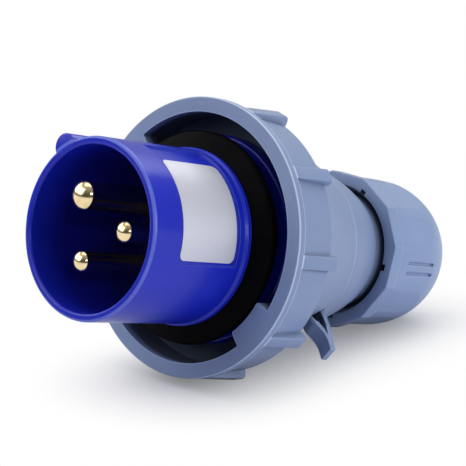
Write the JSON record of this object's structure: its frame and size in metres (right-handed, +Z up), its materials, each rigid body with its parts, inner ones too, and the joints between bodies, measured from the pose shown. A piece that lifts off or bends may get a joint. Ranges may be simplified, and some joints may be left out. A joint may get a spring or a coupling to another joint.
{
  "type": "industrial pin and sleeve plug",
  "caption": "Industrial plug: round sleeve with a key around domed brass pins, face seal, ribbed coupling ring with bayonet lugs, conical housing with a lock lever, and a cable gland.",
  "frame": {"origin": "On the floor, below the middle of the plug's bounding box.", "axes": "+X from the open end of the sleeve towards the cable end along the floor, +Z up. The plug's own axis dips towards +X by about 12 degrees, as the plug lies on its coupling ring and its gland nut."},
  "size_m": [0.1346, 0.0718, 0.0716],
  "materials": {
    "sleeve_blue": "moulded, satin",
    "carrier_navy": "moulded, satin",
    "housing_grey": "moulded, satin",
    "gland_white": "moulded",
    "seal_rubber": "smooth",
    "pin_brass": "polished",
    "screw_steel": "zinc plated",
    "label_foil": "satin foil"
  },
  "bodies": {
    "plug": {"plug_sleeve": "sleeve_blue", "rating_label": "label_foil", "face_seal": "seal_rubber", "contact_carrier": "carrier_navy", "pin_retainer": "carrier_navy", "retainer_screws": "screw_steel", "earth_pin": "pin_brass", "line_pin": "pin_brass", "neutral_pin": "pin_brass", "earth_terminal_screw": "screw_steel", "line_terminal_screw": "screw_steel", "neutral_terminal_screw": "screw_steel", "rear_housing": "housing_grey", "housing_o_ring": "seal_rubber", "gland_clamp": "gland_white", "cable_seal": "seal_rubber"},
    "ring": {"coupling_ring": "housing_grey"},
    "lever": {"lock_lever": "housing_grey"},
    "washer": {"slip_washer": "gland_white"},
    "nut": {"gland_nut": "housing_grey"}
  },
  "joints": [
    {"name": "ring_turn", "type": "hinge", "parent": "plug", "child": "ring", "pos_m": [-0.02185, 0, 0.03567], "axis": [-0.9777, 0, 0.21], "range_deg": [0, 36]},
    {"name": "lever_swing", "type": "hinge", "parent": "plug", "child": "lever", "pos_m": [-0.00076, -0.01942, 0.01671], "axis": [0.1699, -0.5878, 0.791], "range_deg": [0, 12], "stiffness_Nm_per_rad": 0.06},
    {"name": "washer_slide", "type": "slide", "parent": "plug", "child": "washer", "axis": [0.9777, 0, -0.21], "range_m": [0, 0.003]},
    {"name": "nut_turn", "type": "hinge", "parent": "washer", "child": "nut", "pos_m": [0.03975, 0, 0.02244], "axis": [0.9777, 0, -0.21], "range_deg": [0, 720]}
  ],
  "couplings": [
    {"joint": "nut_turn", "follows": "washer_slide", "rad_per_m": 4188.8}
  ]
}
